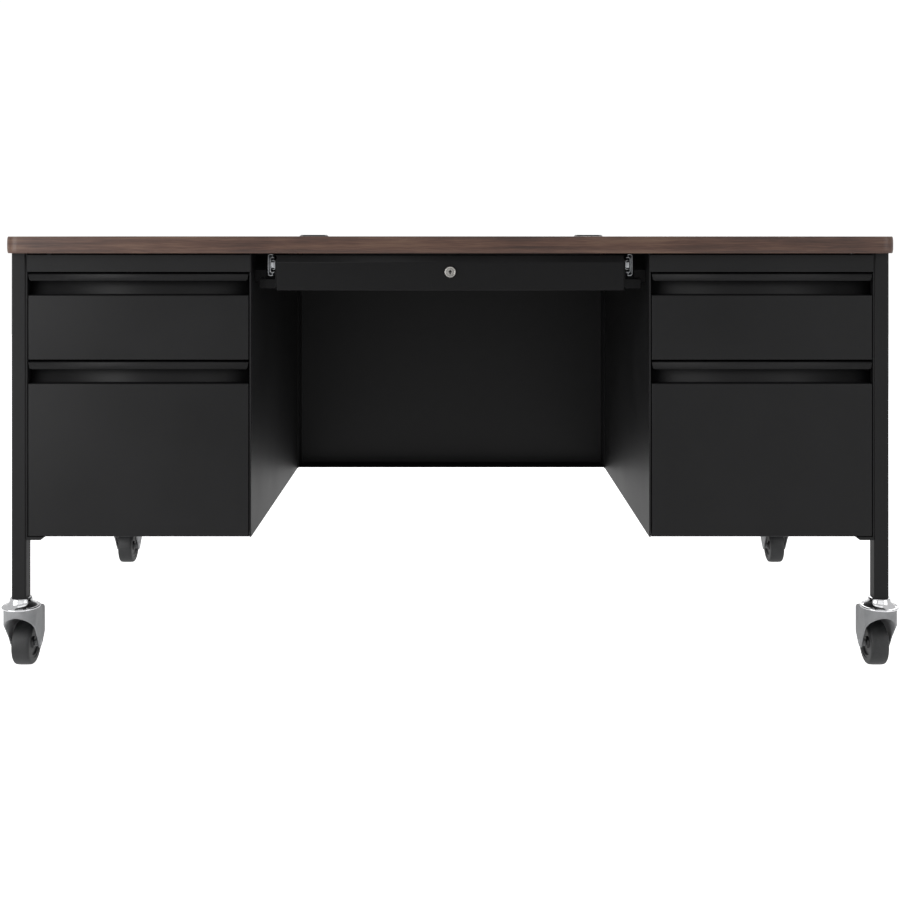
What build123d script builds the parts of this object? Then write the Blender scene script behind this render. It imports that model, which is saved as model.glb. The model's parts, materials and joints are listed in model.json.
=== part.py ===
from build123d import *
import os

# A mobile double-pedestal teacher's desk: walnut laminate worktop, four square legs on hooded
# swivel casters, a box drawer and a file drawer on each side, and a locking centre drawer.
# Frame: X to the right of someone facing the desk, Y to the rear, Z up, in millimetres.
# The origin is on the floor, below the middle of the desk. Depths, as d(25), are counted
# backwards from the worktop's front edge.

# Worktop
top_length = 1524
top_depth = 762
top_thickness = 28.6
desk_height = 749.3
top_corner = 25.4
edge_band = 3.0
edge_round = 2.8
laminate = 1.0
backer = 0.8

# Legs
leg_size = 25.4
leg_wall = 2.0
leg_corner = 3.0
leg_x = 743.5
leg_depths = (37.7, 724.3)
leg_foot = 125

# Casters, measured from the stem's axis
caster_trail = 28
wheel_radius = 37.5
wheel_width = 31
tyre_round = 4.5
hub_radius = 26
hub_width = 29
axle_radius = 4
axle_half = 24
boss_radius = 7
boss_face = 16.1
stem_radius = 5.5
stem_low = 94.5
stem_high = 160
ring_radius = 32.5
ring_rim = 111
ring_shoulder = 29.5
ring_neck = 18
hood_radius = 29.2
hood_top = 107
hood_roof = 95
hood_wall = 2.5
hood_foot_half = 25
hood_foot = 30
hood_foot_round = 7.5
hood_rear = 64.5
hood_rear_low = 64
hood_rear_knee = (54, 60)
hood_back = {"start": 18, "turn": (51, 91)}
hood_back_inside = {"start": 16, "turn": (47, 86)}
hood_brow_turn = (-4, 69.5)
hood_side = 30
hood_side_draft = 2
hood_arch = 70.5

# Pedestals, for the right-hand one; the left-hand one is its mirror image
sheet = 1.2
knee_x = 343
outer_x = 730.8
case_depths = (25.4, 735)
case_bottom = 231.5
top_flange = 15
hem_depth = 11.6
hem_top = 687.5
inner_hem = 1.6
outer_hem = 1.0
header = (688, 718.3)
header_lip = 20

# Drawer fronts with a full-width recessed pull
front_x = (347, 728)
pull_depth = 40
lip_return = 6
front_return = 20
box_front = {"low": 536.3, "ledge": 648.5, "lip": 673, "high": 685.4}
file_front = {"low": 231.7, "ledge": 496, "lip": 520.7, "high": 533.4}

# Drawer bodies and their three-section slides
slide_width = 12.7
slide_steel = 1.2
pan_x = (knee_x + sheet + slide_width, outer_x - sheet - slide_width)
pan_length = 620
box_pan = (541, 650)
file_pan = (240, 495)
slide_depths = (70, 670)
slide_half = 22.5
box_slide_z = 590
file_slide_z = 380
hang_rail = (3, 12)

# Centre drawer
centre_half = 299.5
centre_front = {"low": 656.3, "bevel": 704, "high": 718}
centre_face = 25.4
centre_front_back = 45
centre_pan_half = 304.6
centre_pan_z = (662, 709.5)
centre_pan_depths = (45, 430)
centre_slide_z = 699.7
centre_slide_half = 19
centre_slide_depths = (48, 440)
tray_depths = (48, 170)
tray_top = 688
tray_wall = 2

# Lock
lock_z = 688.3
lock_face_radius = 9.5
lock_shank_radius = 8
plug_radius = 6
plug_clearance = 0.1
bolt_half = 4
bolt_depths = (38.4, 41.4)
bolt_z = (681, 713)
bolt_clearance = 0.3

# Grommets
grommet_x = 308
grommet_depth = 680
grommet_hole = 27.2
liner_radius = 27
liner_bore = 25
flange_radius = 32
flange_height = 1.5
flange_fit = 0.2
cap_radius = 30
cap_thickness = 1.5
cap_gap = 0.3

# Worked out from the above
top_under = desk_height - top_thickness
overall_depth = leg_depths[1] + caster_trail + wheel_radius
front_edge = -overall_depth / 2
core_length = top_length - 2 * edge_band
core_depth = top_depth - 2 * edge_band
core_corner = top_corner - edge_band
top_middle = front_edge + top_depth / 2
leg_inner = leg_size - 2 * leg_wall
face_y = front_edge + case_depths[0]
screw_depths = (120, 380, 640)
screw_x = (knee_x + sheet + top_flange / 2, outer_x - sheet - top_flange / 2)
screw_radius = 2
screw_head_radius = 4
screw_head = 2.5
screw_high = 736

os.makedirs("parts", exist_ok=True)


def d(depth):
    """A depth behind the worktop's front edge, as a Y coordinate."""
    return front_edge + depth


def span(side, low, high):
    """An X range of the right-hand pedestal (side 1), or its mirror image (side -1)."""
    return (low, high) if side > 0 else (-high, -low)


def ordered(a, b):
    return (min(a, b), max(a, b))


def block(x, y, z, mode=Mode.ADD):
    """Add a box, given by its ranges, to the part that is being built."""
    with Locations(((x[0] + x[1]) / 2, (y[0] + y[1]) / 2, (z[0] + z[1]) / 2)):
        Box(x[1] - x[0], y[1] - y[0], z[1] - z[0], mode=mode)


def finish(builder, name):
    """Label a finished piece and write it out."""
    builder.part.label = name
    export_step(builder.part, f"parts/{name}.step")


def leg_places():
    return [(x, d(depth)) for x in (-leg_x, leg_x) for depth in leg_depths]


corner_names = ("rear_left", "front_left", "rear_right", "front_right")
corner_places = (
    (-leg_x, d(leg_depths[1])),
    (-leg_x, d(leg_depths[0])),
    (leg_x, d(leg_depths[1])),
    (leg_x, d(leg_depths[0])),
)
grommet_places = ((-grommet_x, d(grommet_depth)), (grommet_x, d(grommet_depth)))
screw_places = [(side * x, d(depth)) for side in (-1, 1) for x in screw_x for depth in screw_depths]


# ------------------------------------------------------------------ worktop
with BuildPart() as worktop_core:
    with BuildSketch(Plane.XY.offset(top_under + backer)):
        with Locations((0, top_middle)):
            RectangleRounded(core_length, core_depth, core_corner)
        with Locations(*grommet_places):
            Circle(grommet_hole, mode=Mode.SUBTRACT)
    extrude(amount=top_thickness - backer - laminate)
    # pilot holes for the screws that hold the pedestals
    with BuildSketch(Plane.XY.offset(top_under + backer)):
        with Locations(*screw_places):
            Circle(screw_radius)
    extrude(amount=screw_high - top_under - backer, mode=Mode.SUBTRACT)
finish(worktop_core, "worktop_core")

with BuildPart() as worktop_laminates:
    # decorative sheet on top and balancing sheet underneath
    with BuildSketch(Plane.XY.offset(desk_height - laminate)):
        with Locations((0, top_middle)):
            RectangleRounded(core_length, core_depth, core_corner)
        with Locations(*grommet_places):
            Circle(flange_radius + flange_fit, mode=Mode.SUBTRACT)
    extrude(amount=laminate)
    with BuildSketch(Plane.XY.offset(top_under)):
        with Locations((0, top_middle)):
            RectangleRounded(core_length, core_depth, core_corner)
        with Locations(*grommet_places):
            Circle(grommet_hole, mode=Mode.SUBTRACT)
        with Locations(*screw_places):
            Circle(screw_radius, mode=Mode.SUBTRACT)
    extrude(amount=backer)
finish(worktop_laminates, "worktop_laminates")

with BuildPart() as worktop_edge_band:
    with BuildSketch(Plane.XY.offset(top_under)):
        with Locations((0, top_middle)):
            RectangleRounded(top_length, top_depth, top_corner)
            RectangleRounded(core_length, core_depth, core_corner, mode=Mode.SUBTRACT)
    extrude(amount=top_thickness)
    rims = worktop_edge_band.faces().filter_by(Axis.Z)
    outer_rims = [rim.outer_wire().edges() for rim in rims]
    fillet([edge for rim in outer_rims for edge in rim], radius=edge_round)
finish(worktop_edge_band, "worktop_edge_band")

with BuildPart() as worktop_screws:
    with BuildSketch(Plane.XY.offset(top_under - sheet)):
        with Locations(*screw_places):
            Circle(screw_radius)
    extrude(amount=screw_high - top_under + sheet)
    with BuildSketch(Plane.XY.offset(top_under - sheet)):
        with Locations(*screw_places):
            Circle(screw_head_radius)
    extrude(amount=-screw_head)
finish(worktop_screws, "worktop_screws")

# ------------------------------------------------------------------ grommets
with BuildPart() as grommet_liners:
    # the flange is let into the laminate and rests on the core
    with BuildSketch(Plane.XY.offset(desk_height - laminate)):
        with Locations(*grommet_places):
            Circle(flange_radius)
            Circle(liner_bore, mode=Mode.SUBTRACT)
    extrude(amount=laminate + flange_height)
    with BuildSketch(Plane.XY.offset(desk_height - laminate)):
        with Locations(*grommet_places):
            Circle(liner_radius)
            Circle(liner_bore, mode=Mode.SUBTRACT)
    extrude(amount=-23)
finish(grommet_liners, "grommet_liners")


def grommet_cap(name, place):
    """A snap-in cap with a skirt and a cable notch at its rear."""
    x, y = place
    seat = desk_height + flange_height + cap_gap
    with BuildPart() as cap:
        with BuildSketch(Plane.XY.offset(seat)):
            with Locations((x, y)):
                Circle(cap_radius)
        extrude(amount=cap_thickness)
        fillet(cap.edges().group_by(Axis.Z)[-1], radius=1.2)
        with BuildSketch(Plane.XY.offset(seat)):
            with Locations((x, y)):
                Circle(liner_bore - cap_gap)
                Circle(liner_bore - cap_gap - 2, mode=Mode.SUBTRACT)
        extrude(amount=-9)
        block((x - 8, x + 8), (y + 11, y + cap_radius + 1), (seat - 10, seat + 3), Mode.SUBTRACT)
    finish(cap, name)


grommet_cap("grommet_cap_left", grommet_places[0])
grommet_cap("grommet_cap_right", grommet_places[1])

# ------------------------------------------------------------------ legs
with BuildPart() as legs:
    with BuildSketch(Plane.XY.offset(leg_foot)):
        with Locations(*leg_places()):
            RectangleRounded(leg_size, leg_size, leg_corner)
            Rectangle(leg_inner, leg_inner, mode=Mode.SUBTRACT)
    extrude(amount=top_under - leg_foot)
finish(legs, "legs")

with BuildPart() as leg_plugs:
    with BuildSketch(Plane.XY.offset(leg_foot)):
        with Locations(*leg_places()):
            Rectangle(leg_inner, leg_inner)
            Circle(stem_radius, mode=Mode.SUBTRACT)
    extrude(amount=stem_high - leg_foot + 10)
finish(leg_plugs, "leg_plugs")

with BuildPart() as caster_stems:
    with BuildSketch(Plane.XY.offset(stem_low)):
        with Locations(*leg_places()):
            Circle(stem_radius)
    extrude(amount=stem_high - stem_low)
finish(caster_stems, "caster_stems")

with BuildPart() as caster_rings:
    with BuildSketch(Plane.XY.offset(hood_top + cap_gap)):
        with Locations(*leg_places()):
            Circle(ring_radius)
    extrude(amount=ring_rim - hood_top - cap_gap)
    fillet(caster_rings.edges().group_by(Axis.Z)[-1], radius=1.6)
    fillet(caster_rings.edges().group_by(Axis.Z)[0], radius=1.2)
    # the cap rises from its rolled rim to a neck under the leg
    with Locations(*[(x, y, (ring_rim + leg_foot) / 2) for x, y in leg_places()]):
        Cone(ring_shoulder, ring_neck, leg_foot - ring_rim)
    with BuildSketch(Plane.XY.offset(hood_top)):
        with Locations(*leg_places()):
            Circle(stem_radius)
    extrude(amount=leg_foot - hood_top, mode=Mode.SUBTRACT)
finish(caster_rings, "caster_rings")

with BuildPart() as gussets:
    # chamfered tie plates under the pedestals, welded to the legs
    for leg_depth in leg_depths:
        low_y = d(leg_depth - leg_size / 2)
        with BuildSketch(Plane.XZ.offset(-low_y)):
            with BuildLine():
                Polyline(
                    (outer_x, case_bottom),
                    (outer_x, case_bottom - 5.5),
                    (outer_x - 25, case_bottom - 5.5),
                    (outer_x - 31, case_bottom),
                    close=True,
                )
            make_face()
        extrude(amount=-leg_size)
    mirror(about=Plane.YZ)
finish(gussets, "gussets")


# ------------------------------------------------------------------ casters
def hood_form(inset, hollow):
    """The hood's outer form around the stem's axis, or the hollow inside it."""
    roof = hood_roof if hollow else hood_top
    radius = hood_radius - inset
    rear = hood_rear - inset
    foot_half = hood_foot_half - inset
    flare = (hood_radius - hood_foot_half) / (hood_top - hood_foot)
    top_half = foot_half + flare * (roof - hood_foot)
    arch_half = roof - hood_arch
    side_x = radius - hood_side_draft
    back = hood_back_inside if hollow else hood_back
    beyond = 80
    with BuildPart() as form:
        with BuildSketch(Plane.XY):
            with BuildLine():
                ThreePointArc((-radius, 0), (0, -2 * radius if hollow else -radius), (radius, 0))
                Line((radius, 0), (side_x, hood_side))
                ThreePointArc((side_x, hood_side), (0, rear), (-side_x, hood_side))
                Line((-side_x, hood_side), (-radius, 0))
            make_face()
        extrude(amount=roof)
        with BuildSketch(Plane.YZ):
            with BuildLine():
                if hollow:
                    Polyline((beyond, 0), (-beyond, 0), (-beyond, roof), (back["start"], roof))
                    ThreePointArc((back["start"], roof), back["turn"], (rear, hood_rear_low))
                    Polyline((rear, hood_rear_low), (beyond, hood_foot), (beyond, 0))
                else:
                    foot_front = (caster_trail - hood_foot_round, hood_foot + 1)
                    foot_back = (caster_trail + hood_foot_round, hood_foot + 1)
                    brow = (-hood_radius, hood_roof)
                    ThreePointArc((back["start"], roof), back["turn"], (rear, hood_rear_low))
                    Polyline((rear, hood_rear_low), hood_rear_knee, foot_back)
                    ThreePointArc(foot_back, (caster_trail, hood_foot - 2), foot_front)
                    ThreePointArc(foot_front, hood_brow_turn, brow)
                    Polyline(brow, (-hood_radius, roof), (back["start"], roof))
            make_face()
        extrude(amount=40, both=True, mode=Mode.INTERSECT)
        with BuildSketch(Plane.XZ):
            with BuildLine():
                if hollow:
                    ThreePointArc((-arch_half, hood_arch), (0, roof), (arch_half, hood_arch))
                    Polyline((arch_half, hood_arch), (foot_half, hood_foot), (foot_half, 0))
                    Polyline((foot_half, 0), (-foot_half, 0), (-foot_half, hood_foot))
                    Line((-foot_half, hood_foot), (-arch_half, hood_arch))
                else:
                    Polyline((-top_half, roof), (top_half, roof), (foot_half, hood_foot))
                    Polyline((foot_half, hood_foot), (foot_half, 0), (-foot_half, 0))
                    Polyline((-foot_half, 0), (-foot_half, hood_foot), (-top_half, roof))
            make_face()
        extrude(amount=beyond, both=True, mode=Mode.INTERSECT)
    return form.part


hood_outside = hood_form(0, False)
hood_inside = hood_form(hood_wall, True)

with BuildPart() as hood_master:
    add(hood_outside)
    add(hood_inside, mode=Mode.SUBTRACT)
    # bosses that carry the axle
    for boss_side in (-1, 1):
        with Locations((boss_side * (boss_face + axle_half) / 2, caster_trail, wheel_radius)):
            Cylinder(boss_radius, axle_half - boss_face, rotation=(0, 90, 0))
    with Locations((0, caster_trail, wheel_radius)):
        Cylinder(axle_radius + 0.05, 80, rotation=(0, 90, 0), mode=Mode.SUBTRACT)
    with Locations((0, 0, hood_top)):
        Cylinder(stem_radius + 0.1, 40, mode=Mode.SUBTRACT)

with BuildPart() as tyre_master:
    Cylinder(wheel_radius, wheel_width, rotation=(0, 90, 0))
    fillet(tyre_master.edges().filter_by(GeomType.CIRCLE), radius=tyre_round)
    Cylinder(hub_radius, wheel_width, rotation=(0, 90, 0), mode=Mode.SUBTRACT)

with BuildPart() as hub_master:
    Cylinder(hub_radius, hub_width, rotation=(0, 90, 0))
    for hub_side in (-1, 1):
        with Locations((hub_side * hub_width / 2, 0, 0)):
            Cylinder(22, 10, rotation=(0, 90, 0), mode=Mode.SUBTRACT)
    Cylinder(9, hub_width, rotation=(0, 90, 0))
    Cylinder(axle_radius + 0.1, 80, rotation=(0, 90, 0), mode=Mode.SUBTRACT)

for corner, (stem_x, stem_y) in zip(corner_names, corner_places):
    axle_place = (stem_x, stem_y + caster_trail, wheel_radius)
    with BuildPart() as caster_hood:
        with Locations((stem_x, stem_y, 0)):
            add(hood_master.part)
        # the axle is a loose pin in the same node
        with Locations(axle_place):
            Cylinder(axle_radius, 2 * axle_half, rotation=(0, 90, 0))
    finish(caster_hood, f"caster_hood_{corner}")
    with BuildPart() as caster_tyre:
        with Locations(axle_place):
            add(tyre_master.part)
    finish(caster_tyre, f"caster_tyre_{corner}")
    with BuildPart() as caster_hub:
        with Locations(axle_place):
            add(hub_master.part)
    finish(caster_hub, f"caster_hub_{corner}")

# ------------------------------------------------------------------ pedestal cases
with BuildPart() as pedestal_inner_sides:
    block((knee_x, knee_x + sheet), (face_y, d(case_depths[1])), (case_bottom, top_under))
    block((knee_x, knee_x + sheet + top_flange), (d(80), d(700)), (top_under - sheet, top_under))
    block((knee_x, knee_x + sheet + inner_hem), (face_y, face_y + hem_depth), (case_bottom, hem_top))
    with Locations(*[(screw_x[0], d(depth), top_under) for depth in screw_depths]):
        Cylinder(screw_radius, 10, mode=Mode.SUBTRACT)
    mirror(about=Plane.YZ)
finish(pedestal_inner_sides, "pedestal_inner_sides")

with BuildPart() as pedestal_outer_sides:
    block((outer_x - sheet, outer_x), (face_y, d(case_depths[1])), (case_bottom, top_under))
    block((outer_x - sheet - top_flange, outer_x), (d(80), d(700)), (top_under - sheet, top_under))
    block((outer_x - sheet - outer_hem, outer_x), (face_y, face_y + hem_depth), (case_bottom, hem_top))
    with Locations(*[(screw_x[1], d(depth), top_under) for depth in screw_depths]):
        Cylinder(screw_radius, 10, mode=Mode.SUBTRACT)
    mirror(about=Plane.YZ)
finish(pedestal_outer_sides, "pedestal_outer_sides")

with BuildPart() as pedestal_backs:
    block(
        (knee_x + sheet, outer_x - sheet),
        (d(case_depths[1]) - sheet, d(case_depths[1])),
        (case_bottom, top_under),
    )
    mirror(about=Plane.YZ)
finish(pedestal_backs, "pedestal_backs")

with BuildPart() as pedestal_bottoms:
    block(
        (knee_x + sheet, outer_x - sheet),
        (face_y + pull_depth + 2, d(case_depths[1]) - sheet),
        (case_bottom, case_bottom + sheet),
    )
    mirror(about=Plane.YZ)
finish(pedestal_bottoms, "pedestal_bottoms")

with BuildPart() as pedestal_headers:
    header_x = (knee_x + sheet, outer_x - sheet)
    block(header_x, (face_y, face_y + sheet), header)
    block(header_x, (face_y, face_y + header_lip), (header[1] - sheet, header[1]))
    block(header_x, (face_y, face_y + header_lip), (header[0], header[0] + sheet))
    mirror(about=Plane.YZ)
finish(pedestal_headers, "pedestal_headers")

with BuildPart() as modesty_panel:
    # folded panel across the kneehole, with flanges towards the user
    panel_y = d(730)
    block((-knee_x, knee_x), (panel_y, panel_y + sheet), (case_bottom, top_under))
    block((-knee_x, -knee_x + sheet), (panel_y - 65, panel_y), (case_bottom, top_under))
    block((knee_x - sheet, knee_x), (panel_y - 65, panel_y), (case_bottom, top_under))
    block((-knee_x, knee_x), (panel_y - 57, panel_y), (case_bottom, case_bottom + sheet))
finish(modesty_panel, "modesty_panel")


# ------------------------------------------------------------------ slides
def channel(start, reach, y, z, half):
    """A C-channel along Y. Its web stands on x = start and its flanges run reach beyond it."""
    toward = 1 if reach > 0 else -1
    block(ordered(start, start + toward * slide_steel), y, (z - half, z + half))
    block(ordered(start, start + reach), y, (z + half - slide_steel, z + half))
    block(ordered(start, start + reach), y, (z - half, z - half + slide_steel))


def slide_pair(member, outer_faces, y, z, half):
    """One member of both slides of a drawer. outer_faces are the walls' x, left and right."""
    for wall, toward in zip(outer_faces, (1, -1)):
        if member == "outer":
            channel(wall, toward * 9, y, z, half)
        if member == "middle":
            channel(wall + toward * 3.4, toward * 7.6, y, z, half - 5.3)
        if member == "inner":
            channel(wall + toward * slide_width, -toward * 7.5, y, z, half - 10.8)


def case_walls(side):
    return span(side, knee_x + sheet, outer_x - sheet)


centre_walls = (-centre_pan_half - slide_width, centre_pan_half + slide_width)
slide_y = (d(slide_depths[0]), d(slide_depths[1]))
centre_slide_y = (d(centre_slide_depths[0]), d(centre_slide_depths[1]))

with BuildPart() as slide_outers:
    for case_side in (-1, 1):
        for slide_z in (box_slide_z, file_slide_z):
            slide_pair("outer", case_walls(case_side), slide_y, slide_z, slide_half)
    slide_pair("outer", centre_walls, centre_slide_y, centre_slide_z, centre_slide_half)
finish(slide_outers, "slide_outers")


# ------------------------------------------------------------------ pedestal drawers
def pull_front(name, side, levels):
    """A front folded from one sheet: face, ledge, back of the recess, top and lip."""
    x = span(side, *front_x)
    back = face_y + pull_depth
    low, ledge, lip, high = (levels[key] for key in ("low", "ledge", "lip", "high"))
    with BuildPart() as front:
        with BuildSketch(Plane.YZ.offset(x[0])):
            with BuildLine():
                Polyline(
                    (face_y, low),
                    (face_y, ledge),
                    (back - sheet, ledge),
                    (back - sheet, high - sheet),
                    (face_y + sheet, high - sheet),
                    (face_y + sheet, lip + sheet),
                    (face_y + lip_return, lip + sheet),
                    (face_y + lip_return, lip),
                    (face_y, lip),
                    (face_y, high),
                    (back, high),
                    (back, ledge - sheet),
                    (face_y + sheet, ledge - sheet),
                    (face_y + sheet, low + sheet),
                    (face_y + front_return, low + sheet),
                    (face_y + front_return, low),
                    close=True,
                )
            make_face()
        extrude(amount=x[1] - x[0])
        for end in (x[0], x[1] - sheet):
            block((end, end + sheet), (face_y, face_y + front_return), (low, ledge))
        # lower corners of the lip
        lip_ends = front.edges().filter_by(Axis.Y).filter_by_position(Axis.Z, lip - 0.01, lip + 0.01)
        fillet(lip_ends, radius=1.1)
    finish(front, name)


def drawer_pan(name, side, z):
    """An open steel box behind the front."""
    x = span(side, *pan_x)
    y = (face_y + pull_depth, face_y + pull_depth + pan_length)
    with BuildPart() as pan:
        block(x, y, z)
        inside_x = (x[0] + sheet, x[1] - sheet)
        inside_y = (y[0] + sheet, y[1] - sheet)
        block(inside_x, inside_y, (z[0] + sheet, z[1] + 1), Mode.SUBTRACT)
    finish(pan, name)


for side, side_name in ((-1, "left"), (1, "right")):
    for kind, levels, pan_z, slide_z in (
        ("box", box_front, box_pan, box_slide_z),
        ("file", file_front, file_pan, file_slide_z),
    ):
        pull_front(f"{kind}_drawer_front_{side_name}", side, levels)
        drawer_pan(f"{kind}_drawer_pan_{side_name}", side, pan_z)
        for member in ("inner", "middle"):
            with BuildPart() as slide_part:
                slide_pair(member, case_walls(side), slide_y, slide_z, slide_half)
            finish(slide_part, f"{kind}_slide_{member}s_{side_name}")
    # rails on the file drawer's sides for hanging folders
    with BuildPart() as hang_rails:
        for rail_x in pan_x:
            inward = 1 if rail_x == pan_x[0] else -1
            rail = ordered(side * rail_x, side * (rail_x + inward * hang_rail[0]))
            rail_y = (face_y + pull_depth, face_y + pull_depth + pan_length)
            block(rail, rail_y, (file_pan[1], file_pan[1] + hang_rail[1]))
    finish(hang_rails, f"file_hang_rails_{side_name}")

# ------------------------------------------------------------------ centre drawer
with BuildPart() as centre_drawer_front:
    low, bevel, high = (centre_front[key] for key in ("low", "bevel", "high"))
    centre_y = d(centre_face)
    with BuildSketch(Plane.YZ.offset(-centre_half)):
        with BuildLine():
            Polyline(
                (centre_y, low),
                (centre_y, bevel),
                (centre_y + 6, high),
                (centre_y + 9.5, high),
                (centre_y + 9.5, high - sheet),
                (centre_y + 6 + sheet, high - sheet),
                (centre_y + sheet, bevel),
                (centre_y + sheet, low + sheet),
                (d(centre_front_back), low + sheet),
                (d(centre_front_back), low),
                close=True,
            )
        make_face()
    extrude(amount=2 * centre_half)
    for end in (-centre_half, centre_half - sheet):
        block((end, end + sheet), (centre_y + sheet, d(centre_front_back)), (low, bevel))
    with Locations((0, centre_y, lock_z)):
        Cylinder(lock_shank_radius, 10, rotation=(90, 0, 0), mode=Mode.SUBTRACT)
finish(centre_drawer_front, "centre_drawer_front")

with BuildPart() as centre_drawer_pan:
    pan_y = (d(centre_pan_depths[0]), d(centre_pan_depths[1]))
    block((-centre_pan_half, centre_pan_half), pan_y, centre_pan_z)
    block(
        (-centre_pan_half + sheet, centre_pan_half - sheet),
        (pan_y[0] + sheet, pan_y[1] - sheet),
        (centre_pan_z[0] + sheet, centre_pan_z[1] + 1),
        Mode.SUBTRACT,
    )
finish(centre_drawer_pan, "centre_drawer_pan")

for member in ("inner", "middle"):
    with BuildPart() as centre_slide_part:
        slide_pair(member, centre_walls, centre_slide_y, centre_slide_z, centre_slide_half)
    finish(centre_slide_part, f"centre_slide_{member}s")

with BuildPart() as pencil_tray:
    tray_half = centre_pan_half - sheet - 3
    tray_low = centre_pan_z[0] + sheet
    tray_y = (d(tray_depths[0]), d(tray_depths[1]))
    block((-tray_half, tray_half), tray_y, (tray_low, tray_top))
    pocket = (2 * tray_half - 4 * tray_wall) / 3
    for index in range(3):
        pocket_x = -tray_half + tray_wall + index * (pocket + tray_wall)
        block(
            (pocket_x, pocket_x + pocket),
            (tray_y[0] + tray_wall, tray_y[1] - tray_wall),
            (tray_low + tray_wall, tray_top + 1),
            Mode.SUBTRACT,
        )
finish(pencil_tray, "pencil_tray")

with BuildPart() as gang_arms:
    # arms on the centre drawer that reach over to the catches on the pedestals
    arm_z = (658.6, 674.4)
    block((centre_pan_half, centre_pan_half + 1.5), (d(55), d(95)), (centre_pan_z[0], arm_z[1]))
    block((centre_pan_half, 333), (d(55), d(56.5)), arm_z)
    mirror(about=Plane.YZ)
finish(gang_arms, "gang_arms")

with BuildPart() as centre_brackets:
    # hangers that carry the centre slides, and the catches on the pedestal walls
    hanger_x = centre_pan_half + slide_width
    hanger_y = (d(50), d(436))
    block((hanger_x, hanger_x + 1.5), hanger_y, (centre_slide_z - centre_slide_half, top_under))
    block((hanger_x, 338), hanger_y, (top_under - 1.5, top_under))
    block((knee_x - 1.5, knee_x), (d(68), d(95)), (669, 691))
    block((323, knee_x), (d(68), d(69.5)), (677, 691))
    block((335, knee_x), (d(68), d(69.5)), (669, 677))
    mirror(about=Plane.YZ)
finish(centre_brackets, "centre_brackets")

# ------------------------------------------------------------------ lock
with BuildPart() as lock_body:
    with Locations((0, d(centre_face - 2), lock_z)):
        Cylinder(lock_face_radius, 4, rotation=(90, 0, 0))
    with Locations((0, d(centre_face + 4), lock_z)):
        Cylinder(lock_shank_radius, 10, rotation=(90, 0, 0))
    block((-9, 9), (d(33), d(44.6)), (676, 700.5))
    with Locations((0, d(30), lock_z)):
        Cylinder(plug_radius + plug_clearance, 17, rotation=(90, 0, 0), mode=Mode.SUBTRACT)
    with Locations((0, d(20), lock_z)):
        Cylinder(plug_radius + plug_clearance, 12, rotation=(90, 0, 0), mode=Mode.SUBTRACT)
    block(
        (-bolt_half - bolt_clearance, bolt_half + bolt_clearance),
        (d(bolt_depths[0] - bolt_clearance), d(bolt_depths[1] + bolt_clearance)),
        (bolt_z[0] - 1, 720),
        Mode.SUBTRACT,
    )
finish(lock_body, "lock_body")

with BuildPart() as lock_plug:
    with Locations((0, d(28.7), lock_z)):
        Cylinder(plug_radius, 15, rotation=(90, 0, 0))
    block((-1.1, 1.1), (d(20), d(27)), (lock_z - 4, lock_z + 4), Mode.SUBTRACT)
finish(lock_plug, "lock_plug")

with BuildPart() as lock_bolt:
    block((-bolt_half, bolt_half), (d(bolt_depths[0]), d(bolt_depths[1])), bolt_z)
finish(lock_bolt, "lock_bolt")

with BuildPart() as lock_strike:
    # slotted plate under the worktop that the bolt rises into
    block((-15, 15), (d(36), d(46)), (716, 717.5))
    block((-6, 6), (d(37.6), d(42.2)), (710, 720), Mode.SUBTRACT)
    for end in (-15, 13.5):
        block((end, end + 1.5), (d(36), d(46)), (716, top_under))
finish(lock_strike, "lock_strike")
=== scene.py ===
import json
import math
import bmesh
import bpy
from mathutils import Matrix, Vector


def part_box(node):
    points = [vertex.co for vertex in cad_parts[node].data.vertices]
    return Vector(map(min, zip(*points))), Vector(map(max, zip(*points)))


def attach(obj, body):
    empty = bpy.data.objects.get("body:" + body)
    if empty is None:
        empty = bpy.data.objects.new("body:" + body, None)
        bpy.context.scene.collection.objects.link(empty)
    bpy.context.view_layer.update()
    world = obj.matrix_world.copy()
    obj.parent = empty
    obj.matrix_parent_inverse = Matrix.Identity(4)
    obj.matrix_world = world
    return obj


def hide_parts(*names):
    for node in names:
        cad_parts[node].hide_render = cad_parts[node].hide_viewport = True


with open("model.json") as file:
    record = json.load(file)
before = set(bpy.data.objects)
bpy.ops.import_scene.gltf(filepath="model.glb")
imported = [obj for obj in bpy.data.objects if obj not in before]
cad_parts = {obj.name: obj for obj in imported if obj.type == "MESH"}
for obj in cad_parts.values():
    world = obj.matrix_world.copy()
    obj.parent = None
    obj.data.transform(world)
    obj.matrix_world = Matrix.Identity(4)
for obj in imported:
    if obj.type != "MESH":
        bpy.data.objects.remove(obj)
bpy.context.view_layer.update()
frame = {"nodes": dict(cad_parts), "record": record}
nodes = frame["nodes"]
mm = 0.001
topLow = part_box("worktop_edge_band")[0]
print("frame loaded:", len(nodes), "nodes")

# camera, straight on to the user's side, level with the worktop
cameraLook = {"lens": 50, "sensor": 36, "aside": 7.3 * mm, "away": 2.1285, "eye": 0.7505,
              "shift": (-0.0049, -0.238)}
cameraData = bpy.data.cameras.new("camera")
cameraData.lens = cameraLook["lens"]
cameraData.sensor_width = cameraLook["sensor"]
cameraData.shift_x, cameraData.shift_y = cameraLook["shift"]
camera = bpy.data.objects.new("camera", cameraData)
camera.location = (cameraLook["aside"], topLow[1] - cameraLook["away"], cameraLook["eye"])
camera.rotation_euler = (math.radians(90), 0, 0)
bpy.context.scene.collection.objects.link(camera)
bpy.context.scene.camera = camera


def toLinear(hexColour):
    channels = [int(hexColour[i:i + 2], 16) / 255 for i in (1, 3, 5)]
    linear = [c / 12.92 if c <= 0.04045 else ((c + 0.055) / 1.055) ** 2.4 for c in channels]
    return (*linear, 1)


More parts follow.
